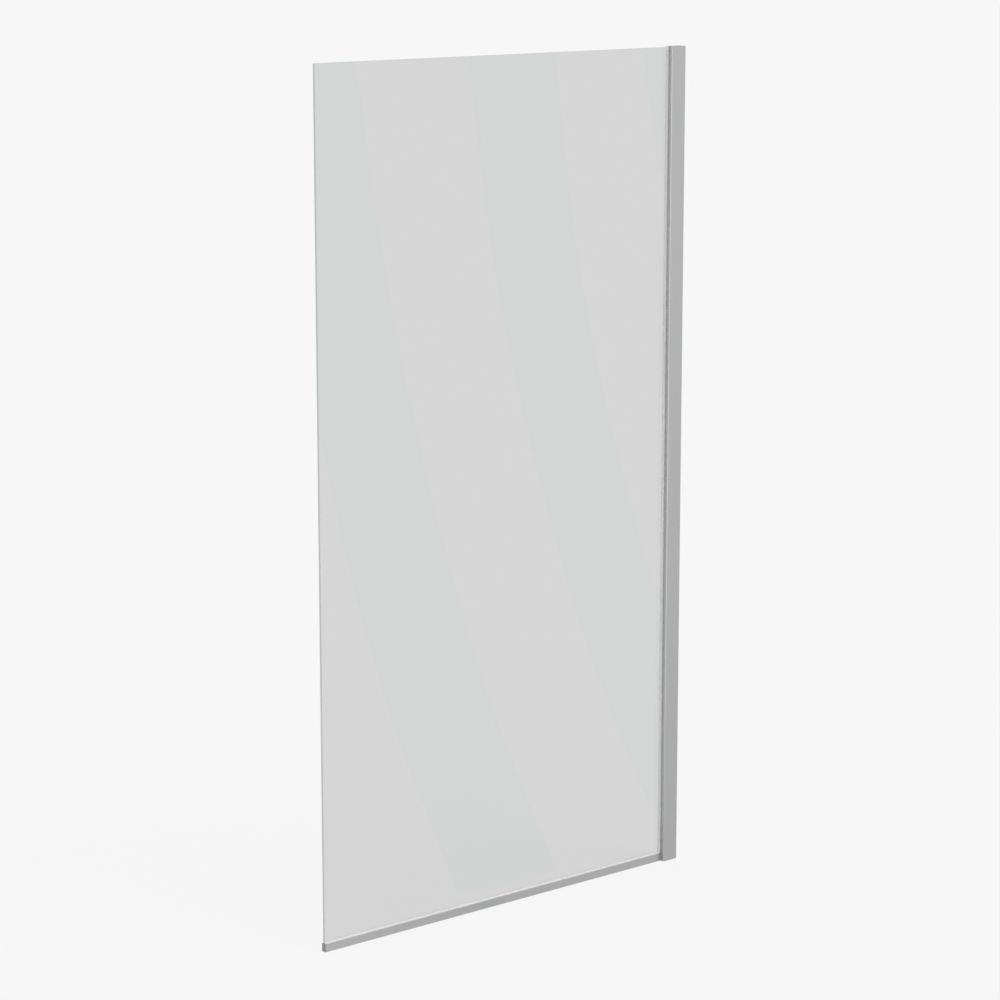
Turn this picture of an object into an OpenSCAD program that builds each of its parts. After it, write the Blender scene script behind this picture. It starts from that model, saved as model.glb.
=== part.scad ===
// Fixed shower glass panel: a glass pane held in a bottom rail and a wall stile,
// which slides over a wall jamb to take up the width and is locked there by screws.
// Millimetres, +Z up. The wall is on the +X side and the origin lies on the tray,
// under the middle of the glass.

/* [Overall] */
// Width from the free end of the bottom rail to the wall, with the panel pushed in
panel_width = 1000; // [700:5:1400]
// Height from the tray to the top of the stile's cap
panel_height = 1850; // [1500:5:2100]

/* [Glass] */
// Thickness of the glass
glass_t = 6; // [5:0.5:8]
// Width of the ground bevel along the glass edges
glass_arris = 0.6; // [0.2:0.1:1]
// How far the glass reaches into the stile
glass_in_stile = 9; // [7:0.5:10]

/* [Wall stile] */
// Depth of the stile, from its nose to the wall
stile_depth = 40; // [39.5:0.5:60]
// Distance of the stile's front face from the middle of the glass
stile_front = 15.5; // [14:0.5:20]
// Wall of the stile's outer skin
stile_wall = 1.6; // [1.2:0.1:2]
// Wall of the stile's glazing pocket
pocket_wall = 1.4; // [1:0.1:1.8]
// Outside radius of the stile's two nose corners
stile_corner_r = 2.5; // [1.7:0.1:3]
// How far the pocket's rear wall stops short of the nose
rear_setback = 2; // [0.5:0.5:2.5]

/* [Wall jamb] */
// Wall of the jamb
jamb_wall = 1.6; // [1.2:0.1:2]
// How far the jamb stops short of the glazing pocket
jamb_tip_gap = 1.1; // [0.8:0.1:2]
// How far the jamb stops short of each cap
jamb_end_gap = 2; // [0.5:0.5:5]
// Width that the panel can be drawn out from the wall
travel = 15; // [5:1:15]

/* [Wall holes] */
// Radius of each hole for a wall screw
wall_hole_r = 2.75; // [2:0.05:3.5]
// Number of wall holes
wall_hole_n = 4; // [2:1:5]
// Distance of the first and last wall hole from the ends of the panel
wall_hole_end = 175; // [60:5:300]

/* [Lock screws] */
// Number of lock screws
lock_n = 3; // [2:1:4]
// Distance of the first and last lock screw from the ends of the panel
lock_end = 225; // [60:5:400]
// Distance of the lock screws from the wall
lock_from_wall = 7; // [7:0.1:7.6]
// Radius of a lock screw's shank
lock_r = 2; // [1.5:0.1:2.2]
// Radius of a lock screw's head
lock_head_r = 3.5; // [3:0.1:3.8]
// Height of a lock screw's head
lock_head_h = 2; // [1.6:0.1:2.4]
// Thickness of a nut plate
nut_t = 3; // [2:0.1:3.2]
// Width of a nut plate along the travel
nut_w = 10; // [8:0.5:10.5]
// Length of a nut plate up the jamb
nut_l = 18; // [12:1:30]
// Thickness of the cup washer under a screw head
washer_t = 1; // [0.8:0.1:1.4]
// Radius of a washer and of its cover
cover_r = 6.4; // [6:0.1:6.9]
// Height of a cover over its washer
cover_h = 3.2; // [3:0.1:4]
// Wall of a cover
cover_wall = 0.9; // [0.7:0.05:1]

/* [Bottom rail] */
// Height of the rail
rail_h = 18.5; // [16:0.5:30]
// How much lower the rail's back wall is than its front
rail_back_drop = 1.5; // [0.5:0.5:2.5]
// Wall of the rail
rail_wall = 1.4; // [1:0.1:1.8]
// Height of the closed chamber under the rail's pocket
rail_chamber_h = 3.8; // [3.6:0.1:5]
// Outside radius of the rail's edges
rail_edge_r = 0.7; // [0.3:0.1:0.9]
// Number of weep slots in the rail's back wall
weep_n = 3; // [2:1:5]
// Length of a weep slot
weep_l = 15; // [8:1:25]
// Height of a weep slot
weep_h = 1.5; // [1:0.1:3]
// Distance of the first and last weep slot from the ends of the rail
weep_end = 100; // [50:5:140]

/* [Gaskets] */
// Thickness of the stile's front gasket beside the glass
front_gasket_t = 2; // [1.6:0.1:2.6]
// Thickness of the stile's rear gasket beside the glass
rear_gasket_t = 1.6; // [1.4:0.1:2]
// Thickness of the rail's gaskets beside the glass
rail_gasket_t = 1.8; // [1.5:0.1:2.4]
// How far the stile's front gasket lies on the glass, past the nose
stile_lip = 6; // [3:0.1:8]
// How far the rail's front gasket stands above the rail
rail_lip = 3; // [1:0.1:4]
// Thickness of each lip at its tip
lip_tip_t = 0.6; // [0.4:0.1:1]
// Depth of a gasket's bead in its groove
bead_h = 0.6; // [0.3:0.05:0.8]
// Width of a gasket's bead
bead_w = 2; // [1:0.1:2.4]

/* [Setting blocks] */
// Thickness of the blocks between the glass edge and the metal
block_t = 2.5; // [2:0.5:3.5]
// Length of each block
block_l = 60; // [30:5:100]
// Distance of the blocks under the glass from the ends of the rail
rail_block_end = 220; // [190:5:280]
// Distance of the first and last block up the stile from the ends of the panel
stile_block_end = 275; // [100:5:400]
// Number of blocks up the stile
stile_block_n = 3; // [2:1:5]

/* [Caps] */
// Thickness of the stile's top cap
top_cap_t = 2; // [1:0.1:4]
// Thickness of the stile's bottom cap
bottom_cap_t = 1.5; // [1:0.1:3]
// Thickness of the rail's end cap
end_cap_t = 1; // [0.8:0.1:3]
// Length of the legs that hold each cap
cap_leg_l = 12; // [6:1:20]
// Outside radius of the end cap's corners
end_cap_r = 1.3; // [0.5:0.1:2]

/* [Corner key] */
// Length of the key's tongue in the rail
key_tongue_l = 32; // [20:1:50]
// Radius of the screw that holds the key in the stile
key_screw_r = 2; // [1.5:0.1:2.2]
// Length of that screw under its head
key_screw_l = 10; // [7:0.5:11]
// Distance of that screw in front of the middle of the glass
key_screw_off = 1.5; // [1:0.1:1.7]
// Radius of the screw's head
key_head_r = 3.5; // [3:0.1:3.9]
// Height of the screw's head
key_head_h = 2.2; // [1.8:0.1:2.6]
// Radius of the hexagon socket in each screw head, to its corners
socket_r = 1.4; // [0.9:0.1:1.5]
// Radius of the small screw up through the rail
tongue_screw_r = 1.5; // [1:0.1:1.6]
// Radius of the small screw's sunk head
tongue_head_r = 2.8; // [2.4:0.1:3]
// Distance of the small screw from the stile's nose
tongue_screw_x = 18; // [14:0.5:22]

/* [Clearances] */
// Gap between the jamb and the pieces that slide over it
slide_gap = 0.3; // [0.2:0.05:0.5]
// Gap round a screw in a plain hole
hole_gap = 0.15; // [0.1:0.05:0.3]
// Gap round a screw in its thread
thread_gap = 0.05; // [0.02:0.01:0.1]
// Gap round a piece that is pushed into a pocket
fit_gap = 0.1; // [0.05:0.05:0.2]
// Extra width of a lock slot round its screw
slot_gap = 0.5; // [0.3:0.1:0.8]

/* [Hidden] */
$fn = 64;
// Overlap that lets a cut pass its faces
cut = 1;

// Places across the panel, measured from the middle plane of the glass
stile_y0 = -stile_front;
skin_y0 = stile_y0 + stile_wall;
mouth_y0 = -glass_t / 2 - front_gasket_t;
mouth_y1 = glass_t / 2 + rear_gasket_t;
stile_y1 = mouth_y1 + stile_wall;
pocket_y0 = mouth_y0 - pocket_wall;
jamb_y0 = skin_y0 + slide_gap;
jamb_y1 = mouth_y1 - slide_gap;
jamb_mid_y = (jamb_y0 + jamb_y1) / 2;
rail_mouth_half = glass_t / 2 + rail_gasket_t;
rail_half = rail_mouth_half + rail_wall;

// Places along the panel
wall_x = panel_width / 2;
free_x = -panel_width / 2;
nose_x = wall_x - stile_depth;
glass_x0 = free_x + end_cap_t;
glass_x1 = nose_x + glass_in_stile;
pocket_x = glass_x1 + block_t;
pocket_back_x = pocket_x + pocket_wall;
rear_x = nose_x + rear_setback;
jamb_x = pocket_back_x + jamb_tip_gap;
lock_x = wall_x - lock_from_wall;
tongue_x = nose_x - tongue_screw_x;

// Heights
stile_z0 = bottom_cap_t;
stile_z1 = panel_height - top_cap_t;
jamb_z0 = stile_z0 + jamb_end_gap;
jamb_z1 = stile_z1 - jamb_end_gap;
chamber_z1 = rail_wall + rail_chamber_h;
rail_floor_z = chamber_z1 + rail_wall;
glass_z0 = rail_floor_z + block_t;
glass_z1 = stile_z1;
gasket_z0 = glass_z0 + glass_arris;
rail_back_z = rail_h - rail_back_drop;
lip_z = rail_h + rail_lip;
key_z0 = bottom_cap_t + fit_gap;
key_z1 = glass_z0 - fit_gap;
key_screw_z = (key_z0 + key_z1) / 2;

// Pieces of the lock
slot_r = lock_r + slot_gap;
nut_y = jamb_y1 - jamb_wall - hole_gap;
washer_y = stile_y1;
head_y = washer_y + washer_t;

// Evenly spaced places of n copies, the first at a and the last at b
function places(a, b, n) = [for (i = [0 : n - 1]) a + (b - a) * i / (n - 1)];
lock_places = places(lock_end, panel_height - lock_end, lock_n);
wall_hole_places = places(wall_hole_end, panel_height - wall_hole_end, wall_hole_n);
weep_places = places(glass_x0 + weep_end, nose_x - weep_end, weep_n);
rail_block_places = places(glass_x0 + rail_block_end, nose_x - rail_block_end, 2);
stile_block_places = places(stile_block_end, panel_height - stile_block_end, stile_block_n);

module aluminium_finish() { color([0.72, 0.73, 0.74]) children(); }
module vinyl_finish() { color([0.86, 0.88, 0.87]) children(); }
module rubber_finish() { color([0.16, 0.16, 0.17]) children(); }
module plastic_finish() { color([0.55, 0.56, 0.57]) children(); }
module steel_finish() { color([0.62, 0.63, 0.65]) children(); }

// Cylinder from a point along +X
module rod_x(p, r, l) { translate(p) rotate([0, 90, 0]) cylinder(r = r, h = l); }
// Cylinder from a point along +Y
module rod_y(p, r, l) { translate(p) rotate([-90, 0, 0]) cylinder(r = r, h = l); }

// Rectangle with all four corners rounded
module round_rect(size, r) {
    translate([r, 0]) square([size[0] - 2 * r, size[1]]);
    translate([0, r]) square([size[0], size[1] - 2 * r]);
    for (x = [r, size[0] - r], y = [r, size[1] - r]) translate([x, y]) circle(r = r);
}

// Outline of the stile's foot: round at the nose, square at the wall
module foot_outline() {
    across = stile_y1 - stile_y0;
    translate([nose_x, stile_y0]) round_rect([stile_depth, across], stile_corner_r);
    translate([wall_x - 2 * stile_corner_r, stile_y0]) square([2 * stile_corner_r, across]);
}

// Outline of the stile and its top cap, set back behind the glass
module stile_outline() {
    difference() {
        foot_outline();
        translate([nose_x - cut, 0]) square([rear_setback + cut, stile_y1 + cut]);
    }
}

// Hollow front part with the glazing pocket behind it, and a channel for the jamb on the wall side
module stile_section() {
    difference() {
        stile_outline();
        translate([nose_x + stile_wall, skin_y0]) square([stile_depth, pocket_y0 - skin_y0]);
        translate([pocket_back_x, skin_y0]) square([stile_depth, mouth_y1 - skin_y0]);
        translate([nose_x - cut, mouth_y0]) square([pocket_x - nose_x + cut, mouth_y1 - mouth_y0]);
        for (y = [mouth_y0, mouth_y1]) stile_bead(y);
    }
}

// Groove in the pocket wall, and the bead that fills it
module stile_bead(y) {
    translate([nose_x + glass_in_stile / 2, y]) square([bead_w, 2 * bead_h], center = true);
}

module wall_stile() aluminium_finish() difference() {
    translate([0, 0, stile_z0]) linear_extrude(stile_z1 - stile_z0) stile_section();
    for (z = lock_places) rod_y([lock_x, 0, z], lock_r + hole_gap, stile_y1 + cut);
    rod_x([pocket_x - cut, -key_screw_off, key_screw_z], key_screw_r + hole_gap, pocket_wall + 2 * cut);
}

module jamb_section() {
    difference() {
        translate([jamb_x, jamb_y0]) square([wall_x - jamb_x, jamb_y1 - jamb_y0]);
        translate([jamb_x - cut, jamb_y0 + jamb_wall])
            square([wall_x - jamb_x - jamb_wall + cut, jamb_y1 - jamb_y0 - 2 * jamb_wall]);
    }
}

// Slot that a lock screw runs in as the panel is drawn out
module lock_slot() {
    slot_depth = jamb_wall + 2 * cut;
    y0 = jamb_y1 - jamb_wall - cut;
    rod_y([lock_x, y0, 0], slot_r, slot_depth);
    rod_y([lock_x - travel, y0, 0], slot_r, slot_depth);
    translate([lock_x - travel, y0, -slot_r]) cube([travel, slot_depth, 2 * slot_r]);
}

module wall_jamb() aluminium_finish() difference() {
    translate([0, 0, jamb_z0]) linear_extrude(jamb_z1 - jamb_z0) jamb_section();
    for (z = wall_hole_places)
        rod_x([wall_x - jamb_wall - cut, jamb_mid_y, z], wall_hole_r, jamb_wall + 2 * cut);
    for (z = lock_places) translate([0, 0, z]) lock_slot();
}

// Section of the pane with its bevelled edges, from u0 to u1
module pane_section(u0, u1) {
    h = glass_t / 2;
    a = glass_arris;
    polygon([[u0 + a, -h], [u1 - a, -h], [u1, -h + a], [u1, h - a],
        [u1 - a, h], [u0 + a, h], [u0, h - a], [u0, -h + a]]);
}

module glass_pane() color([0.72, 0.82, 0.80, 0.4]) intersection() {
    translate([0, 0, glass_z0]) linear_extrude(glass_z1 - glass_z0) pane_section(glass_x0, glass_x1);
    translate([glass_x1, 0, 0]) rotate([0, -90, 0]) linear_extrude(glass_x1 - glass_x0)
        pane_section(glass_z0, glass_z1);
}

// Draws a section given as [y, z] along the panel, from x0 to x1
module along_x(x0, x1) {
    translate([x0, 0, 0]) rotate([90, 0, 90]) linear_extrude(x1 - x0) children();
}

// Groove in the rail's wall, and the bead that fills it
module rail_bead(side) {
    translate([side * rail_mouth_half, (gasket_z0 + rail_h) / 2]) square([2 * bead_h, bead_w], center = true);
}

module rail_section() {
    difference() {
        translate([-rail_half, 0]) round_rect([2 * rail_half, rail_h], rail_edge_r);
        translate([-rail_mouth_half, rail_wall]) square([2 * rail_mouth_half, rail_chamber_h]);
        translate([-rail_mouth_half, rail_floor_z]) square([2 * rail_mouth_half, rail_h]);
        translate([0, rail_back_z]) square([rail_half + cut, rail_h]);
        for (s = [-1, 1]) rail_bead(s);
    }
}

// The rail's back wall runs on over the bottom cap, to meet the back wall of the stile
module rail_back_end() {
    intersection() {
        rail_section();
        translate([rail_mouth_half, bottom_cap_t]) square([rail_wall, rail_h - bottom_cap_t]);
    }
}

module bottom_rail() aluminium_finish() difference() {
    union() {
        along_x(glass_x0, nose_x) rail_section();
        along_x(nose_x, rear_x) rail_back_end();
    }
    for (x = weep_places)
        translate([x - weep_l / 2, 0, rail_floor_z]) cube([weep_l, rail_half + cut, weep_h]);
    translate([tongue_x, 0, -cut]) cylinder(r = tongue_screw_r + hole_gap, h = rail_wall + 2 * cut);
    tongue_head(hole_gap);
}

// Gasket in front of the glass, with a lip that lies on the glass past the stile's nose
module stile_front_gasket() vinyl_finish() {
    front = -glass_t / 2;
    translate([0, 0, glass_z0]) linear_extrude(glass_z1 - glass_z0) {
        translate([nose_x, mouth_y0]) square([glass_in_stile - glass_arris, front_gasket_t]);
        stile_bead(mouth_y0);
    }
    translate([0, 0, lip_z]) linear_extrude(panel_height - lip_z)
        polygon([[nose_x, front], [nose_x - stile_lip, front],
            [nose_x - stile_lip, front - lip_tip_t], [nose_x, mouth_y0]]);
}

// Gasket behind the glass, flush with the end of the pocket's rear wall
module stile_rear_gasket() vinyl_finish() translate([0, 0, glass_z0]) linear_extrude(glass_z1 - glass_z0) {
    translate([rear_x, glass_t / 2]) square([glass_x1 - glass_arris - rear_x, rear_gasket_t]);
    stile_bead(mouth_y1);
}

// Gasket in front of the glass, with a lip that stands above the rail
module rail_front_gasket() vinyl_finish() mirror([0, 1, 0]) along_x(glass_x0, nose_x) {
    g = glass_t / 2;
    translate([g, gasket_z0]) square([rail_gasket_t, rail_h - gasket_z0]);
    rail_bead(1);
    polygon([[g, rail_h], [rail_half - rail_edge_r, rail_h], [g + lip_tip_t, lip_z], [g, lip_z]]);
}

// Gasket behind the glass, flush with the rail's back wall
module rail_rear_gasket() vinyl_finish() along_x(glass_x0, nose_x) {
    translate([glass_t / 2, gasket_z0]) square([rail_gasket_t, rail_back_z - gasket_z0]);
    rail_bead(1);
}

module stile_setting_blocks() rubber_finish() for (z = stile_block_places)
    translate([glass_x1, mouth_y0 + fit_gap, z - block_l / 2])
        cube([block_t, mouth_y1 - mouth_y0 - 2 * fit_gap, block_l]);

module rail_setting_blocks() rubber_finish() for (x = rail_block_places)
    translate([x - block_l / 2, -rail_mouth_half + fit_gap, rail_floor_z])
        cube([block_l, 2 * (rail_mouth_half - fit_gap), block_t]);

// Leg that plugs into the hollow in front of the pocket
module stile_cap_leg() {
    x0 = nose_x + stile_wall + fit_gap;
    y0 = skin_y0 + fit_gap;
    translate([x0, y0, 0]) cube([pocket_back_x - x0, pocket_y0 - fit_gap - y0, cap_leg_l]);
}

module stile_top_cap() plastic_finish() {
    translate([0, 0, stile_z1]) linear_extrude(top_cap_t) stile_outline();
    translate([0, 0, stile_z1 - cap_leg_l]) stile_cap_leg();
}

module stile_bottom_cap() plastic_finish() {
    linear_extrude(bottom_cap_t) foot_outline();
    translate([0, 0, bottom_cap_t]) stile_cap_leg();
}

// Solid tongue that fits the rail's chamber, from x0 to x1
module chamber_tongue(x0, x1) {
    half = rail_mouth_half - fit_gap;
    translate([x0, -half, rail_wall + fit_gap]) cube([x1 - x0, 2 * half, rail_chamber_h - 2 * fit_gap]);
}

module rail_end_cap() plastic_finish() {
    along_x(free_x, glass_x0) translate([-rail_half, 0]) round_rect([2 * rail_half, rail_h], end_cap_r);
    chamber_tongue(glass_x0, glass_x0 + cap_leg_l);
}

// Block in the foot of the stile's pocket, under the glass, with a tongue in the rail
module corner_key() steel_finish() difference() {
    union() {
        translate([nose_x, mouth_y0 + fit_gap, key_z0])
            cube([pocket_x - nose_x, mouth_y1 - mouth_y0 - 2 * fit_gap, key_z1 - key_z0]);
        chamber_tongue(nose_x - key_tongue_l, nose_x);
    }
    rod_x([pocket_back_x - key_screw_l - hole_gap, -key_screw_off, key_screw_z],
        key_screw_r + thread_gap, key_screw_l + cut);
    translate([tongue_x, 0, 0]) cylinder(r = tongue_screw_r + thread_gap, h = chamber_z1 + cut);
}

module corner_key_screw() steel_finish() translate([pocket_back_x, -key_screw_off, key_screw_z]) {
    rod_x([-key_screw_l, 0, 0], key_screw_r, key_screw_l);
    difference() {
        rod_x([0, 0, 0], key_head_r, key_head_h);
        rod_x([key_head_h / 2, 0, 0], socket_r, key_head_h, $fn = 6);
    }
}

// Sunk head in the rail's underside, with a gap round it
module tongue_head(gap) {
    translate([tongue_x, 0, 0])
        cylinder(r1 = tongue_head_r + gap, r2 = tongue_screw_r + gap, h = rail_wall);
}

module rail_tongue_screw() steel_finish() difference() {
    union() {
        tongue_head(0);
        translate([tongue_x, 0, rail_wall / 2])
            cylinder(r = tongue_screw_r, h = chamber_z1 - fit_gap - rail_wall / 2);
    }
    translate([tongue_x, 0, rail_wall / 2 - cut]) cylinder(r = socket_r, h = cut, $fn = 6);
}

module lock_screws() steel_finish() for (z = lock_places) {
    rod_y([lock_x, nut_y - nut_t, z], lock_r, head_y - nut_y + nut_t);
    difference() {
        rod_y([lock_x, head_y, z], lock_head_r, lock_head_h);
        rod_y([lock_x, head_y + lock_head_h / 2, z], socket_r, lock_head_h, $fn = 6);
    }
}

module lock_nut_plates() steel_finish() for (z = lock_places) difference() {
    translate([lock_x - nut_w / 2, nut_y - nut_t, z - nut_l / 2]) cube([nut_w, nut_t, nut_l]);
    rod_y([lock_x, nut_y - nut_t - cut, z], lock_r + thread_gap, nut_t + 2 * cut);
}

// Cup washer with a low ring that its cover snaps over
module lock_washers() plastic_finish() for (z = lock_places) {
    ring_r = cover_r - cover_wall - thread_gap;
    seat_r = lock_head_r + 2 * hole_gap;
    difference() {
        union() {
            rod_y([lock_x, washer_y, z], cover_r, washer_t);
            rod_y([lock_x, washer_y, z], ring_r, 2 * washer_t);
        }
        rod_y([lock_x, washer_y - cut, z], lock_r + hole_gap, washer_t + 2 * cut);
        rod_y([lock_x, head_y, z], seat_r, washer_t + cut);
    }
}

// Snap cover, turned with a rounded rim
module lock_screw_covers() plastic_finish() for (z = lock_places)
    translate([lock_x, head_y, z]) rotate([-90, 0, 0]) difference() {
        union() {
            cylinder(r = cover_r, h = cover_h - cover_wall);
            translate([0, 0, cover_h - cover_wall]) rotate_extrude() {
                square([cover_r - cover_wall, cover_wall]);
                translate([cover_r - cover_wall, 0]) intersection() {
                    circle(r = cover_wall);
                    square(cover_wall);
                }
            }
        }
        translate([0, 0, -cut]) cylinder(r = cover_r - cover_wall, h = cover_h - cover_wall + cut);
    }

wall_jamb();
wall_stile();
glass_pane();
bottom_rail();
stile_front_gasket();
stile_rear_gasket();
rail_front_gasket();
rail_rear_gasket();
stile_setting_blocks();
rail_setting_blocks();
stile_top_cap();
stile_bottom_cap();
rail_end_cap();
corner_key();
corner_key_screw();
rail_tongue_screw();
lock_screws();
lock_nut_plates();
lock_washers();
lock_screw_covers();
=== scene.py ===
# Looks of a fixed shower glass panel: finishes, moulded and soft pieces, floor, light and camera.
import math

import bmesh
import bpy
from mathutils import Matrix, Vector


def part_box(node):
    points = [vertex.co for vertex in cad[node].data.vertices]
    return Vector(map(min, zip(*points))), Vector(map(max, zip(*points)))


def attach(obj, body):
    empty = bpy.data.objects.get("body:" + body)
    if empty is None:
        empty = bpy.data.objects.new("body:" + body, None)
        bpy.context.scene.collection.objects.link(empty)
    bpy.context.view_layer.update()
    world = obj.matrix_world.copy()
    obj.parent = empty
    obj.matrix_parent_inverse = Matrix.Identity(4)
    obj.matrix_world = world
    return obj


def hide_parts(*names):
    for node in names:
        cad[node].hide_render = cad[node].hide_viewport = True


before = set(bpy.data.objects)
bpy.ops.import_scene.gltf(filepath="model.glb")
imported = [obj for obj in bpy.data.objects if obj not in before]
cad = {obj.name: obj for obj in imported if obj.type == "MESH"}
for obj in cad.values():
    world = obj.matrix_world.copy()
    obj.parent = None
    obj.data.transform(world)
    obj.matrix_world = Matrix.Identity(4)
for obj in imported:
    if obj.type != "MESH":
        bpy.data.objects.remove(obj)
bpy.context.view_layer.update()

# Camera: place in metres, turn to the right of +Y and tilt down in degrees, focal length and width
# of the sensor in millimetres
CAMERA_AT = (-4.1714, -4.9301, 2.1989)
CAMERA_TURN = 40.124
CAMERA_TILT = 11.356
CAMERA_LENS = 110.69
SENSOR_WIDTH = 36.0

# The pale shade of the floor and of everything round it, and the floor's side in metres
PALE = 0.930
FLOOR_SIZE = 120.0
# Share of the camera's view of the floor that keeps its own light and shade
FLOOR_SHADE = 0.12
# Strength of the floor's light where satin metal mirrors it. It is darker near the panel than far
# off, painted shade in place of the panel's shadow on the floor, at these distances in metres from
# the middle of the panel's foot
NEAR_FLOOR_PAINTED_SHADE = 0.86
FAR_FLOOR = 0.94
NEAR_DISTANCE = 0.5
FAR_DISTANCE = 5.0
# The strength grows towards the front on the left, a painted pool of light from which the stile's
# corner takes its light, and the power makes it grow slowly at first. Both places are dot products
# with the direction, which points to the back on the right
LEFT_FLOOR_PAINTED_LIGHT = 1.26
LEFT_PLACE = -1.5
RIGHT_PLACE = 0.5
LEFT_POWER = 2.2
LEFT_DIRECTION = (1.0, 0.8, 0.0)
# It is lighter behind the panel too, a second painted pool of light, in full from this many metres
# back
BEHIND_FLOOR_PAINTED_LIGHT = 1.25
BEHIND_PLACE = 0.3
# Lamps: turn to the right of the panel's front and height in degrees, strength, and soft width in
# degrees
LAMPS = {
    "key": (25.0, 38.0, 1.15, 40.0),
    "corner": (-50.0, 6.0, 0.28, 12.0),
    "back": (165.0, 40.0, 0.35, 40.0),
}

# Light stripes that the pane mirrors. Each bends like a hanging strip, and has rows of its left
# side, its right side and their height, where they show on the glass, in metres
STRIPES = {
    "left": ((-0.574, -0.394, 1.86), (-0.545, -0.315, 1.40), (-0.462, -0.203, 0.95),
             (-0.328, -0.054, 0.50), (-0.128, 0.162, 0.02)),
    "middle": ((-0.108, 0.138, 1.86), (-0.033, 0.208, 1.40), (0.087, 0.332, 0.95),
               (0.251, 0.500, 0.50), (0.484, 0.710, 0.02)),
    "right": ((0.384, 0.560, 1.86), (0.421, 0.600, 1.66), (0.458, 0.640, 1.46)),
}
# Distance of the stripes in front of the glass, in metres
STRIPE_GAP = 0.10
STRIPE_COLOUR = (0.52, 0.93, 0.84)
# Share of a stripe's width over which it fades out at each side
STRIPE_FADE = 0.06

# Colours
WHITE = (1.0, 1.0, 1.0)
PALE_GREY = (PALE, PALE, PALE)
METAL_GREY = (0.492, 0.495, 0.499)
GLASS_TINT = (0.8436, 0.8433, 0.8439)
GLASS_EDGE = (0.52, 0.535, 0.53)
VINYL_PALE = (0.618, 0.622, 0.620)
CAP_GREY = (0.39, 0.393, 0.398)
# Painted shade: the cap on the rail's free end is a darker grey than the other caps, in place of the
# shade on its end face
END_CAP_PAINTED_SHADE_GREY = (0.285, 0.288, 0.292)
RUBBER_BLACK = (0.022, 0.022, 0.024)
KEY_GREY = (0.42, 0.425, 0.43)
STEEL_GREY = (0.55, 0.55, 0.56)

# Satin metal: noise scales of its fine lines, broad lines and clouds, share of the scale that the
# lines keep lengthwise, range that the broad lines give, contrast, roughness and depth in metres
FINE_LINES = 2600.0
BROAD_LINES = 420.0
CLOUDS = 5.0
LENGTHWISE_SHARE = 0.004
BROAD_RANGE = (0.2, 0.8)
METAL_CONTRAST = 0.03
METAL_ROUGH = (0.32, 0.42)
METAL_DEPTH = 0.00002

# Glass: share of light that it mirrors straight on, power by which that grows towards grazing, and
# least Y of a normal on the pane's two faces. All else is its ground edge
MIRROR_SHARE = 0.04
MIRROR_POWER = 5.0
FACE_NORMAL = 0.9

# A millimetre in metres
MM = 0.001
# Steps of an arc or a curve, and of a rounded corner
ARC_STEPS = 8
CORNER_STEPS = 4
# Edges that turn by more than this, in degrees, stay sharp
SHARP_ANGLE = 40.0

# Gaskets, in millimetres: clearance from the glass and the walls, radius of the half-round bead on
# the back, and lead-in at the mouth and foot
CLEAR = 0.05
BEAD_R = 0.6
LEAD_IN = 0.4
# Thickness of the lip's tip, and depth of its hollow face
LIP_TIP = 0.6
LIP_HOLLOW = 0.35
# Barbs on the side of the glass
BARBS = 3
BARB_W = 0.6
BARB_H = 0.25
# Gap between the blocks under the glass and the walls of the rail's pocket
BLOCK_GAP = 0.1

# Cap on the rail's free end, in millimetres: thickness and corner radius of its plate
END_CAP_T = 1.0
END_CAP_R = 1.3
# Its rounded edge is a quarter of an ellipse, so far in from the sides and so far back, in steps
END_CAP_ROUND_IN = 1.2
END_CAP_ROUND_BACK = 0.9
END_CAP_STEPS = 9
# Heights of its tongue, length of the lead-in at the tip, and taper and corner radius
TONGUE_BOTTOM = 1.5
TONGUE_TOP = 5.1
TONGUE_LEAD = 2.0
TONGUE_TAPER = 0.35

X_AXIS = 0
Z_AXIS = 2
# Stretches of a noise: none, and brushed along Z
EVEN = (1.0, 1.0, 1.0)
BRUSHED = (1.0, 1.0, 0.08)


def connect(tree, value, socket):
    """Links an output to a socket, or sets the socket's own value."""
    if isinstance(value, bpy.types.NodeSocket):
        tree.links.new(value, socket)
    else:
        socket.default_value = value


def add(tree, kind, inputs=None, **settings):
    """Adds a shader node with its settings and inputs."""
    made = tree.nodes.new(kind)
    for key, value in settings.items():
        setattr(made, key, value)
    for key, value in (inputs or {}).items():
        connect(tree, value, made.inputs[key])
    return made


def maths(tree, operation, a, b=0.0):
    """Result of an operation on one or two values."""
    return add(tree, "ShaderNodeMath", {0: a, 1: b}, operation=operation).outputs[0]


def spread(tree, value, low, high, start=0.0, end=1.0):
    """Maps a value from start..end to low..high."""
    inputs = {"Value": value, "From Min": start, "From Max": end, "To Min": low, "To Max": high}
    return add(tree, "ShaderNodeMapRange", inputs).outputs["Result"]


def opaque(colour):
    """A colour with full alpha."""
    return (*colour, 1.0)


def blend_numbers(tree, share, a, b):
    """Blends two numbers, which have sockets 2 and 3. The share is b's."""
    return add(tree, "ShaderNodeMix", {0: share, 2: a, 3: b}).outputs[0]


def blend_colours(tree, share, a, b):
    """Blends two colours, which have sockets 6 and 7. The share is b's."""
    inputs = {0: share, 6: opaque(a), 7: opaque(b)}
    return add(tree, "ShaderNodeMix", inputs, data_type="RGBA").outputs[2]


def blend_shaders(tree, share, a, b):
    """Blends two shaders. The share is b's."""
    return add(tree, "ShaderNodeMixShader", {0: share, 1: a, 2: b}).outputs[0]


def noise(tree, scale, detail, stretch=EVEN):
    """Noise over the place on the piece in metres, stretched by a scale along each axis."""
    coords = add(tree, "ShaderNodeTexCoord").outputs["Object"]
    place = add(tree, "ShaderNodeMapping", {"Vector": coords, "Scale": stretch}).outputs["Vector"]
    inputs = {"Vector": place, "Scale": scale, "Detail": detail}
    return add(tree, "ShaderNodeTexNoise", inputs).outputs["Fac"]


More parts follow.
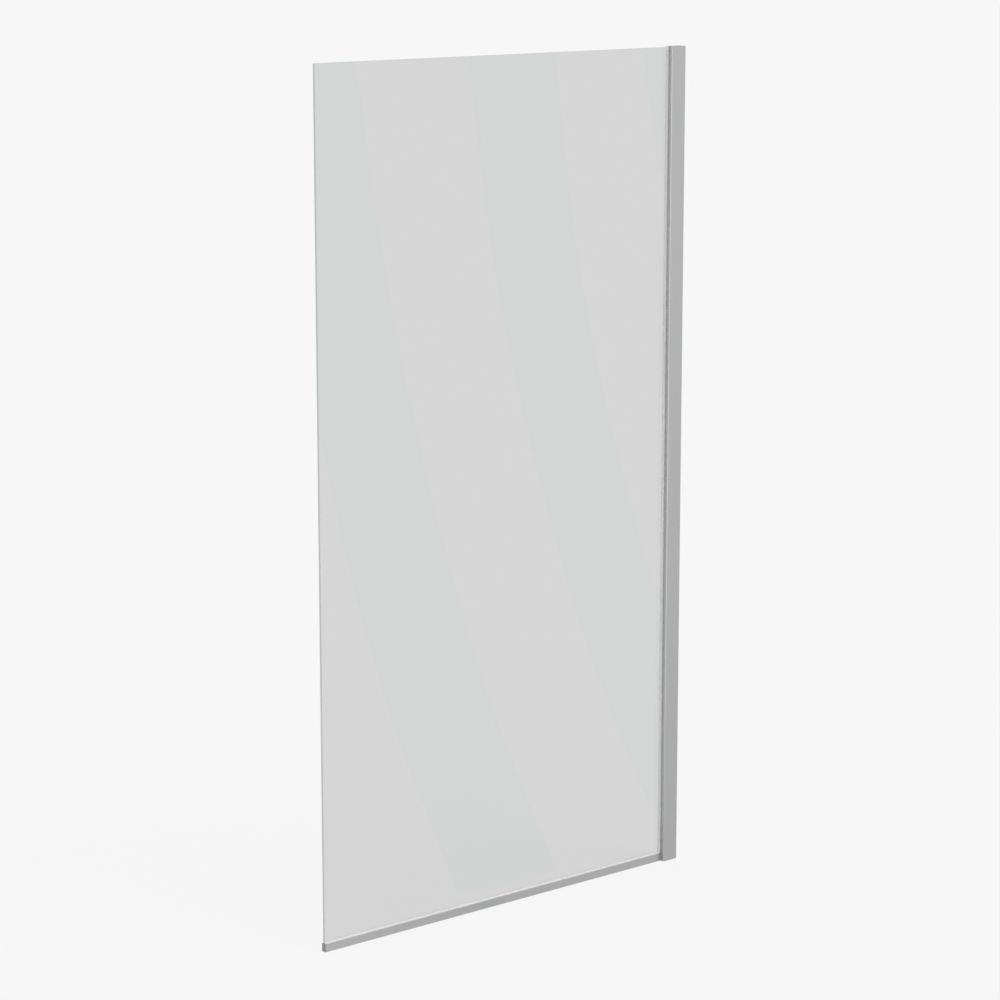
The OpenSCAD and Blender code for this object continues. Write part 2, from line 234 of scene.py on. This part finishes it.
def bump(tree, height, depth):
    """Normal that a height bends, with its depth in metres."""
    return add(tree, "ShaderNodeBump", {"Height": height, "Distance": depth}).outputs["Normal"]


def new_material(name):
    """New material, and its empty node tree."""
    material = bpy.data.materials.new(name)
    material.use_nodes = True
    material.node_tree.nodes.clear()
    return material, material.node_tree


def surface(tree, shader):
    """Makes a shader the surface of its material."""
    output = add(tree, "ShaderNodeOutputMaterial")
    tree.links.new(shader, output.inputs["Surface"])


def tones(colour, contrast):
    """A darker and a lighter tone of a colour."""
    return [tuple(c * (1 + side * contrast) for c in colour) for side in (-1, 1)]


def anodised_metal(name, lengthwise):
    """Satin anodised extrusion, with faint die lines along one axis."""
    material, tree = new_material(name)
    lines = list(EVEN)
    lines[lengthwise] = LENGTHWISE_SHARE
    fine = noise(tree, FINE_LINES, detail=3.0, stretch=lines)
    broad = noise(tree, BROAD_LINES, detail=2.0, stretch=lines)
    shade = spread(tree, broad, *BROAD_RANGE)
    cloud = noise(tree, CLOUDS, detail=2.0)
    dark, light = tones(METAL_GREY, METAL_CONTRAST)
    shader = add(tree, "ShaderNodeBsdfPrincipled", {
        "Base Color": blend_colours(tree, maths(tree, "MULTIPLY", shade, cloud), dark, light),
        "Metallic": 1.0,
        "Roughness": spread(tree, fine, *METAL_ROUGH),
        "Normal": bump(tree, fine, METAL_DEPTH)})
    surface(tree, shader.outputs[0])
    return material


def grained_shader(tree, colour, contrast, scale, detail, rough, depth, stretch=EVEN, sockets=None):
    """Shader whose colour, roughness and bump follow one fine grain.

    Rough is the range of the roughness, depth is the bump's in metres, and sockets are values of
    the shader's other sockets.
    """
    grain = noise(tree, scale, detail, stretch)
    dark, light = tones(colour, contrast)
    return add(tree, "ShaderNodeBsdfPrincipled", {
        "Base Color": blend_colours(tree, grain, dark, light),
        "Roughness": spread(tree, grain, *rough),
        "Normal": bump(tree, grain, depth), **(sockets or {})}).outputs[0]


def grained_material(name, **looks):
    """Material with the looks that the grained shader takes."""
    material, tree = new_material(name)
    surface(tree, grained_shader(tree, **looks))
    return material


def soft_vinyl(name):
    """Pale, slightly cloudy vinyl."""
    return grained_material(
        name, colour=VINYL_PALE, contrast=0.03, scale=700.0, detail=2.0, rough=(0.28, 0.40),
        depth=0.00003, sockets={"IOR": 1.5, "Subsurface Weight": 0.15, "Subsurface Scale": 0.002,
                                "Subsurface Radius": WHITE})


def moulded_plastic(name, colour, rough, lacquer=0.0):
    """Fine spark-eroded moulding, plain or under a metal-toned lacquer."""
    return grained_material(
        name, colour=colour, contrast=0.05, scale=2200.0, detail=3.0, rough=rough, depth=0.00004,
        sockets={"Metallic": lacquer, "IOR": 1.46})


def black_rubber(name):
    """Matt black rubber."""
    return grained_material(
        name, colour=RUBBER_BLACK, contrast=0.2, scale=1500.0, detail=3.0, rough=(0.6, 0.8),
        depth=0.00006)


def cast_metal(name):
    """Die-cast block with a mottled skin."""
    return grained_material(
        name, colour=KEY_GREY, contrast=0.12, scale=600.0, detail=4.0, rough=(0.42, 0.6),
        depth=0.00005, sockets={"Metallic": 1.0})


def stainless_steel(name):
    """Pressed and lightly brushed stainless steel."""
    return grained_material(
        name, colour=STEEL_GREY, contrast=0.06, scale=3000.0, detail=2.0, rough=(0.24, 0.36),
        depth=0.00002, stretch=BRUSHED, sockets={"Metallic": 1.0})


def clear_glass(name):
    """Clear pane: it tints what is behind it, mirrors a little, and has ground, greener edges."""
    material, tree = new_material(name)
    facing = add(tree, "ShaderNodeLayerWeight").outputs["Facing"]
    mirror = spread(tree, maths(tree, "POWER", facing, MIRROR_POWER), MIRROR_SHARE, 1.0)
    through = add(tree, "ShaderNodeBsdfTransparent", {"Color": opaque(GLASS_TINT)}).outputs[0]
    shine = add(tree, "ShaderNodeBsdfGlossy", {"Color": opaque(WHITE), "Roughness": 0.0}).outputs[0]
    pane = blend_shaders(tree, mirror, through, shine)
    edge = grained_shader(tree, GLASS_EDGE, contrast=0.06, scale=900.0, detail=3.0,
                          rough=(0.18, 0.34), depth=0.00002, sockets={"IOR": 1.5})
    normal = add(tree, "ShaderNodeTexCoord").outputs["Normal"]
    across = add(tree, "ShaderNodeSeparateXYZ", {0: normal}).outputs["Y"]
    on_face = maths(tree, "GREATER_THAN", maths(tree, "ABSOLUTE", across), FACE_NORMAL)
    surface(tree, blend_shaders(tree, on_face, edge, pane))
    return material


METAL_UP = anodised_metal("satin_anodised_upright", Z_AXIS)
METAL_ALONG = anodised_metal("satin_anodised_rail", X_AXIS)
GLASS = clear_glass("clear_glass")
VINYL = soft_vinyl("soft_vinyl")
PLASTIC = moulded_plastic("moulded_plastic", CAP_GREY, rough=(0.40, 0.55))
# The end cap's darker grey is painted shade for its end face. Its lacquer is its finish
END_PLASTIC_PAINTED_SHADE = moulded_plastic(
    "lacquered_end_plastic_painted_shade", END_CAP_PAINTED_SHADE_GREY, rough=(0.26, 0.36), lacquer=1.0)
RUBBER = black_rubber("black_rubber")
CAST = cast_metal("cast_metal")
STEEL = stainless_steel("stainless_steel")

NODE_FINISH = {
    "wall_jamb": METAL_UP, "wall_stile": METAL_UP, "bottom_rail": METAL_ALONG,
    "glass_pane": GLASS,
    "stile_front_gasket": VINYL, "stile_rear_gasket": VINYL,
    "rail_front_gasket": VINYL, "rail_rear_gasket": VINYL,
    "stile_setting_blocks": RUBBER, "rail_setting_blocks": RUBBER,
    "stile_top_cap": PLASTIC, "stile_bottom_cap": PLASTIC, "rail_end_cap": END_PLASTIC_PAINTED_SHADE,
    "lock_washers": PLASTIC, "lock_screw_covers": PLASTIC,
    "corner_key": CAST,
    "corner_key_screw": STEEL, "rail_tongue_screw": STEEL,
    "lock_screws": STEEL, "lock_nut_plates": STEEL,
}


def finish_node(name, material):
    """Gives a CAD node its material."""
    slots = cad[name].data.materials
    slots.clear()
    slots.append(material)


for node_name, node_material in NODE_FINISH.items():
    finish_node(node_name, node_material)


def box_mm(node):
    """Lowest and highest corners of a CAD node, in millimetres."""
    low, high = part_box(node)
    return low / MM, high / MM


def arc(centre, radius, start, end, steps=ARC_STEPS):
    """Points of an arc, with its angles in degrees."""
    angles = [math.radians(start + (end - start) * i / steps) for i in range(steps + 1)]
    return [(centre[0] + radius * math.cos(a), centre[1] + radius * math.sin(a)) for a in angles]


def curve(a, pull, b):
    """Points of a quadratic curve from a to b, without its two ends."""
    points = []
    for i in range(1, ARC_STEPS):
        t = i / ARC_STEPS
        points.append(tuple((1 - t) ** 2 * p + 2 * t * (1 - t) * q + t * t * r
                            for p, q, r in zip(a, pull, b)))
    return points


def add_loft(mesh, rings):
    """Closed skin through rings of the same number of points, with both ends filled."""
    rows = [[mesh.verts.new(Vector(p) * MM) for p in ring] for ring in rings]
    for low, high in zip(rows, rows[1:]):
        for i in range(len(low)):
            j = (i + 1) % len(low)
            mesh.faces.new((low[i], low[j], high[j], high[i]))
    mesh.faces.new(rows[0])
    mesh.faces.new(rows[-1])


def make_piece(name, lofts, node, material):
    """One piece of several lofts, which stands for a CAD node on the moving panel."""
    mesh = bmesh.new()
    for rings in lofts:
        add_loft(mesh, rings)
    bmesh.ops.recalc_face_normals(mesh, faces=mesh.faces)
    data = bpy.data.meshes.new(name)
    mesh.to_mesh(data)
    mesh.free()
    data.materials.append(material)
    data.shade_smooth()
    data.set_sharp_from_angle(angle=math.radians(SHARP_ANGLE))
    piece = bpy.data.objects.new(name, data)
    bpy.context.scene.collection.objects.link(piece)
    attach(piece, "panel")
    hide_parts(node)


def gasket_outline(depth, bead_u, thick, lip=0.0, flare=0.0):
    """Outline round a gasket's section: u runs into the pocket and v away from the glass.

    A gasket without depth is its lip alone. The flare is how far a lip's root stands past the
    gasket's back.
    """
    v0 = CLEAR
    v1 = thick - CLEAR
    points = []
    if lip:
        tip = LIP_TIP / 2
        points += arc((-lip + tip, v0 + tip), tip, 90, 270)
    else:
        points += arc((LEAD_IN, v0 + LEAD_IN), LEAD_IN, 180, 270)
    if depth:
        for i in range(BARBS):
            u = depth * (i + 1) / (BARBS + 1)
            points += [(u - BARB_W / 2, v0), (u, v0 + BARB_H), (u + BARB_W / 2, v0)]
        points += [(depth, v0), (depth, v1 - LEAD_IN), (depth - LEAD_IN, v1)]
        points += arc((bead_u, v1), BEAD_R, 0, 180)
    else:
        points.append((-CLEAR, v0))
    if lip:
        if flare:
            points.append((-CLEAR, v1))
        root = (-CLEAR, v1 + flare)
        end = (-lip + LIP_TIP / 2, v0 + LIP_TIP)
        middle = [(p + q) / 2 for p, q in zip(root, end)]
        points.append(root)
        points += curve(root, (middle[0], middle[1] - LIP_HOLLOW), end)
    else:
        points += arc((LEAD_IN, v1 - LEAD_IN), LEAD_IN, 90, 180)
    return points


def blocks_half():
    """Half the width of the blocks under the glass."""
    return box_mm("rail_setting_blocks")[1].y


def make_stile_gaskets():
    """Wedges beside the glass in the stile.

    The front one's lip starts over the rail's lip, and runs up past the glass beside the top cap.
    """
    glass_end = box_mm("glass_pane")[1]
    face = glass_end.y
    low, high = box_mm("stile_front_gasket")
    nose = box_mm("wall_stile")[0].x
    bead_x = (nose + glass_end.x) / 2
    lip_foot = box_mm("rail_front_gasket")[1].z
    depth, thick, lip = high.x - nose, -face - low.y - BEAD_R, nose - low.x
    lofts = []
    for outline, foot, head in (
            (gasket_outline(depth, bead_x - nose, thick), low.z, lip_foot),
            (gasket_outline(depth, bead_x - nose, thick, lip), lip_foot, glass_end.z),
            (gasket_outline(0.0, 0.0, thick, lip), glass_end.z, high.z)):
        lofts.append([[(nose + u, -face - v, z) for u, v in outline] for z in (foot, head - CLEAR)])
    make_piece("glazing_wedge_stile_front", lofts, "stile_front_gasket", VINYL)

    low, high = box_mm("stile_rear_gasket")
    outline = gasket_outline(high.x - low.x, bead_x - low.x, high.y - face - BEAD_R)
    loft = [[(low.x + u, face + v, z) for u, v in outline] for z in (low.z, high.z - CLEAR)]
    make_piece("glazing_wedge_stile_rear", [loft], "stile_rear_gasket", VINYL)


def make_rail_gaskets():
    """Wedges beside the glass in the rail.

    The front one's lip stands over the rail's front wall, and the rear one is flush with the lower
    back wall.
    """
    face = box_mm("glass_pane")[1].y
    low, high = box_mm("rail_front_gasket")
    rail_top = box_mm("bottom_rail")[1].z
    thick = blocks_half() + BLOCK_GAP - face
    depth = rail_top - low.z
    bead_z = (rail_top + low.z) / 2
    outline = gasket_outline(depth, depth / 2, thick, high.z - rail_top, -low.y - face - thick)
    loft = [[(x, -face - v, rail_top - u) for u, v in outline] for x in (low.x, high.x)]
    make_piece("glazing_wedge_rail_front", [loft], "rail_front_gasket", VINYL)

    low, high = box_mm("rail_rear_gasket")
    outline = gasket_outline(high.z - low.z, high.z - bead_z, thick)
    loft = [[(x, face + v, high.z - u) for u, v in outline] for x in (low.x, high.x)]
    make_piece("glazing_wedge_rail_rear", [loft], "rail_rear_gasket", VINYL)


def rounded_ring(x, low, high, inset, radius):
    """Ring at x with round corners, set in from a rectangle with its corners in Y and Z."""
    y0, z0 = low[0] + inset, low[1] + inset
    y1, z1 = high[0] - inset, high[1] - inset
    corners = [(y1 - radius, z1 - radius, 0), (y0 + radius, z1 - radius, 90),
               (y0 + radius, z0 + radius, 180), (y1 - radius, z0 + radius, 270)]
    return [(x, y, z) for cy, cz, start in corners
            for y, z in arc((cy, cz), radius, start, start + 90, CORNER_STEPS)]


def make_end_cap():
    """Moulded cap with a rounded outer edge, and a tongue with a lead-in that holds it in the rail."""
    low, high = box_mm("rail_end_cap")
    back = low.x + END_CAP_T
    rail = (low.y, low.z), (high.y, high.z)
    plate = [rounded_ring(back, *rail, 0.0, END_CAP_R)]
    for step in range(END_CAP_STEPS + 1):
        angle = math.radians(90 * step / END_CAP_STEPS)
        x = low.x + END_CAP_ROUND_BACK * (1 - math.sin(angle))
        inset = END_CAP_ROUND_IN * (1 - math.cos(angle))
        plate.append(rounded_ring(x, *rail, inset, END_CAP_R - inset))
    half = blocks_half()
    chamber = (-half, TONGUE_BOTTOM), (half, TONGUE_TOP)
    tongue = [rounded_ring(x, *chamber, inset, TONGUE_TAPER) for x, inset in (
        (back + CLEAR, 0.0), (high.x - TONGUE_LEAD, 0.0), (high.x, TONGUE_TAPER))]
    make_piece("moulded_end_cap", [plate, tongue], "rail_end_cap", END_PLASTIC_PAINTED_SHADE)


make_stile_gaskets()
make_rail_gaskets()
make_end_cap()


def stage_sheet(name, rows, material, cover=None):
    """Sheet of the studio, which isn't part of the panel, from rows of points."""
    across = len(rows[0])
    faces = [(r * across + c, r * across + c + 1, (r + 1) * across + c + 1, (r + 1) * across + c)
             for r in range(len(rows) - 1) for c in range(across - 1)]
    mesh = bpy.data.meshes.new(name)
    mesh.from_pydata([p for row in rows for p in row], [], faces)
    mesh.materials.append(material)
    if cover:
        shares = mesh.attributes.new("cover", "FLOAT", "POINT")
        for item, share in zip(shares.data, cover):
            item.value = share
    sheet = bpy.data.objects.new(name, mesh)
    bpy.context.scene.collection.objects.link(sheet)
    return sheet


def glow(tree, colour, strength=1.0):
    """Shader with a light of its own."""
    inputs = {"Color": opaque(colour), "Strength": strength}
    return add(tree, "ShaderNodeEmission", inputs).outputs[0]


def mirrored_floor_painted_light_and_shade(tree):
    """Strength of the floor's own light where the satin metal mirrors it: painted shade near the
    panel, and painted pools of light at the front on the left and behind it.
    """
    coords = add(tree, "ShaderNodeTexCoord").outputs["Object"]
    distance = add(tree, "ShaderNodeVectorMath", {0: coords}, operation="LENGTH").outputs["Value"]
    near_painted_shade = spread(tree, distance, NEAR_FLOOR_PAINTED_SHADE, FAR_FLOOR, NEAR_DISTANCE, FAR_DISTANCE)
    along = add(tree, "ShaderNodeVectorMath", {0: coords, 1: LEFT_DIRECTION}, operation="DOT_PRODUCT")
    share = spread(tree, along.outputs["Value"], 1.0, 0.0, LEFT_PLACE, RIGHT_PLACE)
    left = spread(tree, maths(tree, "POWER", share, LEFT_POWER), NEAR_FLOOR_PAINTED_SHADE, LEFT_FLOOR_PAINTED_LIGHT)
    depth = add(tree, "ShaderNodeSeparateXYZ", {0: coords}).outputs["Y"]
    behind = spread(tree, depth, NEAR_FLOOR_PAINTED_SHADE, BEHIND_FLOOR_PAINTED_LIGHT, 0.0, BEHIND_PLACE)
    return maths(tree, "MAXIMUM", near_painted_shade, maths(tree, "MAXIMUM", left, behind))


def pale_floor_material():
    """Pale floor, which the camera sees mostly by its own light.

    So it stays even and keeps a soft shadow.
    """
    material, tree = new_material("pale_floor")
    matt = add(tree, "ShaderNodeBsdfDiffuse", {"Color": opaque(PALE_GREY)}).outputs[0]
    path = add(tree, "ShaderNodeLightPath").outputs
    camera_share = maths(tree, "MULTIPLY", path["Is Camera Ray"], 1.0 - FLOOR_SHADE)
    mirror_share = maths(tree, "MAXIMUM", path["Is Glossy Ray"], path["Is Transmission Ray"])
    share = maths(tree, "MAXIMUM", camera_share, mirror_share)
    even = maths(tree, "MAXIMUM", path["Is Camera Ray"], path["Is Singular Ray"])
    # Blurry mirrors see the floor's painted shade and painted pools of light. The camera and sharp
    # mirrors see it even
    strength = blend_numbers(tree, even, mirrored_floor_painted_light_and_shade(tree), 1.0)
    surface(tree, blend_shaders(tree, share, matt, glow(tree, PALE_GREY, strength)))
    return material


def make_floor():
    """Square floor at the height of the panel's foot."""
    half = FLOOR_SIZE / 2
    rows = [[(-half, -half, 0), (half, -half, 0)], [(-half, half, 0), (half, half, 0)]]
    stage_sheet("floor", rows, pale_floor_material())


def stripe_material():
    """Light that fades at a stripe's sides by its cover. Only a sharp mirror shows it."""
    material, tree = new_material("light_stripe")
    sharp = add(tree, "ShaderNodeLightPath").outputs["Is Singular Ray"]
    cover = add(tree, "ShaderNodeAttribute", attribute_name="cover").outputs["Fac"]
    clear = add(tree, "ShaderNodeBsdfTransparent", {"Color": opaque(WHITE)}).outputs[0]
    share = maths(tree, "MULTIPLY", sharp, cover)
    surface(tree, blend_shaders(tree, share, clear, glow(tree, STRIPE_COLOUR)))
    return material


def mirrored_place(x, z):
    """Place in the stripes' plane that the camera sees mirrored at x, z of the pane's front."""
    glass_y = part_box("glass_pane")[0].y
    camera_gap = glass_y - CAMERA_AT[1]
    reach = (camera_gap + STRIPE_GAP) / camera_gap
    return (CAMERA_AT[0] + reach * (x - CAMERA_AT[0]), glass_y - STRIPE_GAP,
            CAMERA_AT[2] + reach * (z - CAMERA_AT[2]))


def between(t, before, start, end, after):
    """Value at a share t from start to end, on a cubic whose slopes fit the two values beyond."""
    slope = end - before
    bend = 2 * before - 5 * start + 4 * end - after
    twist = 3 * (start - end) + after - before
    return start + t / 2 * (slope + t * (bend + t * twist))


def smooth_rows(places):
    """Rows of a stripe with more rows between them, on smooth curves through the given ones."""
    first = tuple(2 * a - b for a, b in zip(places[0], places[1]))
    last = tuple(2 * a - b for a, b in zip(places[-1], places[-2]))
    known = [first, *places, last]
    rows = []
    for four in zip(known, known[1:], known[2:], known[3:]):
        for step in range(ARC_STEPS):
            rows.append([between(step / ARC_STEPS, *values) for values in zip(*four)])
    return rows + [places[-1]]


def make_stripes():
    """Stripes in front of the panel that only the glass mirrors."""
    material = stripe_material()
    places_across = (0.0, STRIPE_FADE, 1.0 - STRIPE_FADE, 1.0)
    cover_across = (0.0, 1.0, 1.0, 0.0)
    for name, places in STRIPES.items():
        rows = [[mirrored_place(left + f * (right - left), height) for f in places_across]
                for left, right, height in smooth_rows(places)]
        stripe = stage_sheet("stripe_" + name, rows, material, cover_across * len(rows))
        stripe.visible_camera = False
        stripe.visible_diffuse = False
        stripe.visible_transmission = False
        stripe.visible_shadow = False


def make_lamp(name, turn, height, strength, soft):
    """Sun lamp with the values of one row of the lamps' table."""
    lamp = bpy.data.lights.new(name, "SUN")
    lamp.energy = strength
    lamp.angle = math.radians(soft)
    holder = bpy.data.objects.new(name, lamp)
    turn = math.radians(turn)
    height = math.radians(height)
    towards = Vector((math.sin(turn) * math.cos(height), -math.cos(turn) * math.cos(height),
                      math.sin(height)))
    holder.rotation_euler = towards.to_track_quat("Z", "Y").to_euler()
    bpy.context.scene.collection.objects.link(holder)


def make_world():
    """Pale surroundings, whose light and the lamps' together bring the floor to its own colour."""
    lamp_light = sum(strength * math.sin(math.radians(height)) / math.pi
                     for _, height, strength, _ in LAMPS.values())
    world = bpy.data.worlds.new("studio")
    bpy.context.scene.world = world
    world.use_nodes = True
    tree = world.node_tree
    tree.nodes.clear()
    path = add(tree, "ShaderNodeLightPath").outputs
    mirrored = maths(tree, "MAXIMUM", path["Is Glossy Ray"], path["Is Transmission Ray"])
    seen = maths(tree, "MAXIMUM", path["Is Camera Ray"], mirrored)
    strength = spread(tree, seen, 1.0 - lamp_light, PALE)
    sky = add(tree, "ShaderNodeBackground", {"Color": opaque(WHITE), "Strength": strength})
    output = add(tree, "ShaderNodeOutputWorld")
    tree.links.new(sky.outputs[0], output.inputs["Surface"])


def make_camera():
    """Camera with the photo's view of the panel."""
    data = bpy.data.cameras.new("camera")
    data.lens = CAMERA_LENS
    data.sensor_width = SENSOR_WIDTH
    camera = bpy.data.objects.new("camera", data)
    camera.location = CAMERA_AT
    camera.rotation_euler = (math.radians(90 - CAMERA_TILT), 0, math.radians(-CAMERA_TURN))
    bpy.context.scene.collection.objects.link(camera)
    bpy.context.scene.camera = camera


make_floor()
make_stripes()
make_world()
for lamp_name, lamp_values in LAMPS.items():
    make_lamp(lamp_name, *lamp_values)
make_camera()
bpy.context.scene.view_settings.view_transform = "Standard"
